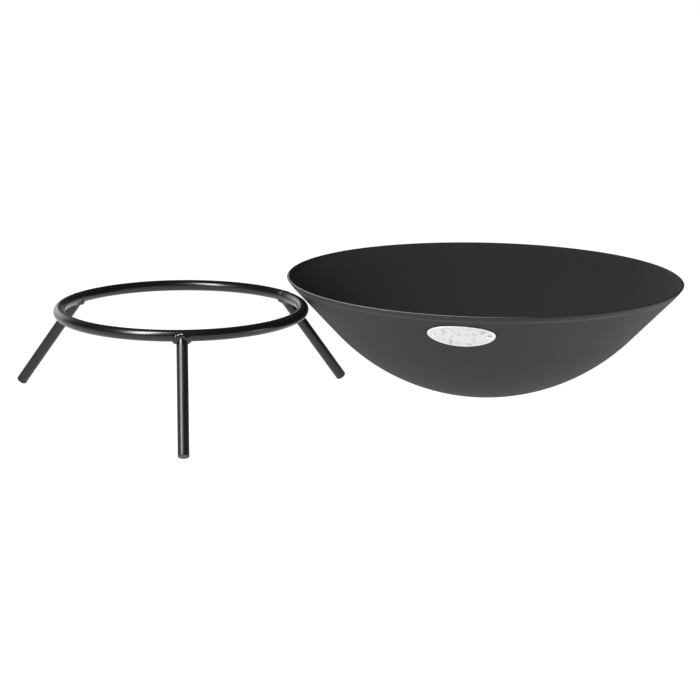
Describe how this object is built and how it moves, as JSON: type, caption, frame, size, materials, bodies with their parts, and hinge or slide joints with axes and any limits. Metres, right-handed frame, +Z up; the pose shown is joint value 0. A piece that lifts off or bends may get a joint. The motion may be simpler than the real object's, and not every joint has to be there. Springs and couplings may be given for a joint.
{
  "type": "fire bowl with ring stand",
  "caption": "Shallow round steel fire bowl with an oval badge, standing beside the low splayed-leg ring stand that it is set on.",
  "frame": {"origin": "middle of the outline seen from above, on the floor that stand and bowl rest on", "axes": "+Z up; +X from the stand towards the bowl; +Y to the back, away from the side that carries the badge"},
  "size_m": [1.0184, 0.695, 0.1792],
  "materials": {
    "stand_black": "smooth satin black powder coat on steel bar",
    "weld_black": "satin black powder coat over a rippled weld bead",
    "bowl_grey": "fine satin charcoal heat-resistant paint on pressed steel",
    "badge_silver": "bright silver plate, lightly mottled, with a polished edge",
    "rivet_silver": "plain bright rivet"
  },
  "bodies": {
    "stand": {"ring": "stand_black", "ring_butt_weld": "weld_black", "leg_front": "stand_black", "leg_rear_right": "stand_black", "leg_rear_left": "stand_black", "weld_front": "weld_black", "weld_rear_right": "weld_black", "weld_rear_left": "weld_black"},
    "bowl": {"bowl_shell": "bowl_grey", "badge_plate": "badge_silver", "badge_rivet_left": "rivet_silver", "badge_rivet_right": "rivet_silver"}
  },
  "joints": [
    {"name": "bowl_lift", "type": "slide", "parent": "stand", "child": "bowl", "axis": [0, 0, 1], "range_m": [0, 0.25]}
  ]
}
